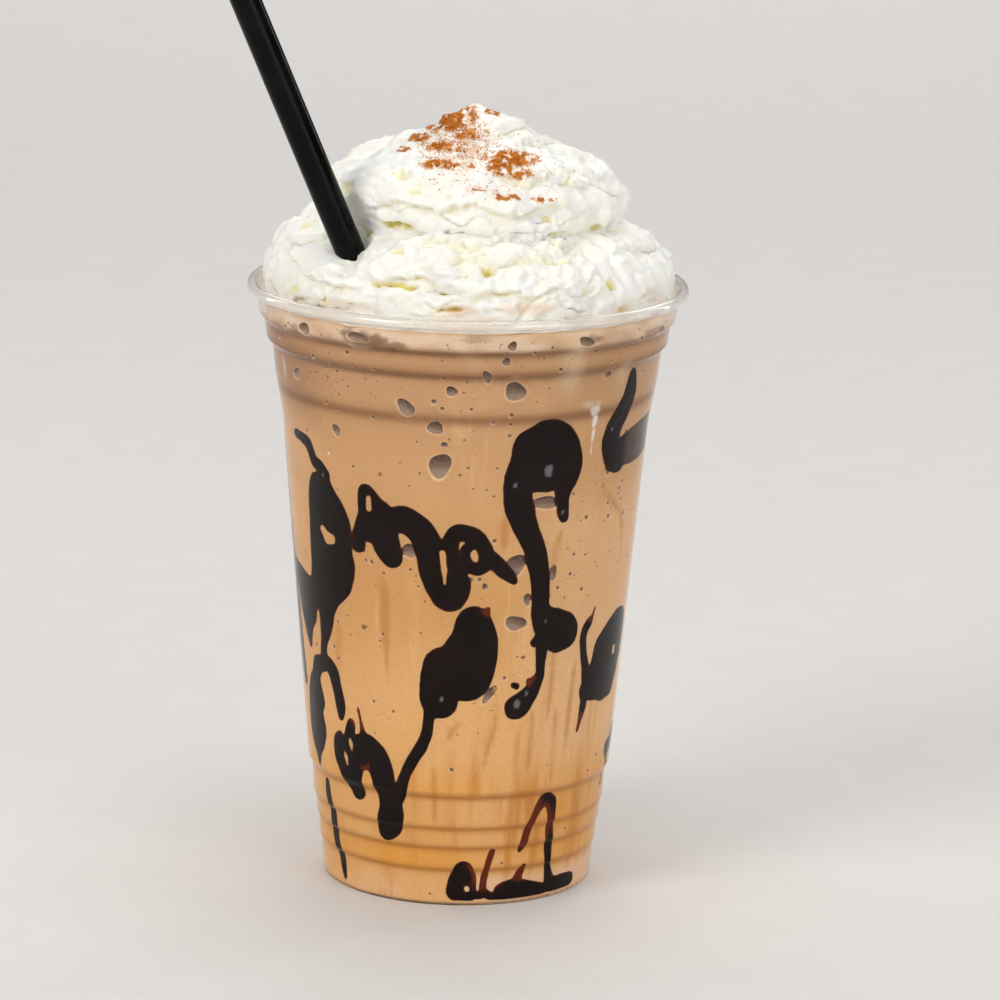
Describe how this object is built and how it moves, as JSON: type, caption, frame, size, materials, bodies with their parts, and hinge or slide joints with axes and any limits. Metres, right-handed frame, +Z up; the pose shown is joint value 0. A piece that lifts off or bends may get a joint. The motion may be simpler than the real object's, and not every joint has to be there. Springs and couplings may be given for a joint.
{
  "type": "blended iced coffee",
  "caption": "Blended coffee drink in a clear ribbed tapered plastic cup with a rolled lip, topped with a heap of whipped cream, with a straight leaning straw.",
  "frame": {"origin": "on the cup's axis, on the surface that the cup's foot stands on", "axes": "+Z up along the cup's axis, -Y towards the front, +X to the right of the front; the straw leans to the left and a little forwards"},
  "size_m": [0.1111, 0.098, 0.2287],
  "materials": {
    "cup": "clear, glossy, thin plastic sheet",
    "drink": "smooth opaque drink, wet",
    "cream": "soft satin cream",
    "straw": "glossy black"
  },
  "bodies": {
    "root": {"cup": "cup", "drink": "drink", "whipped_cream": "cream", "straw": "straw"}
  },
  "joints": []
}
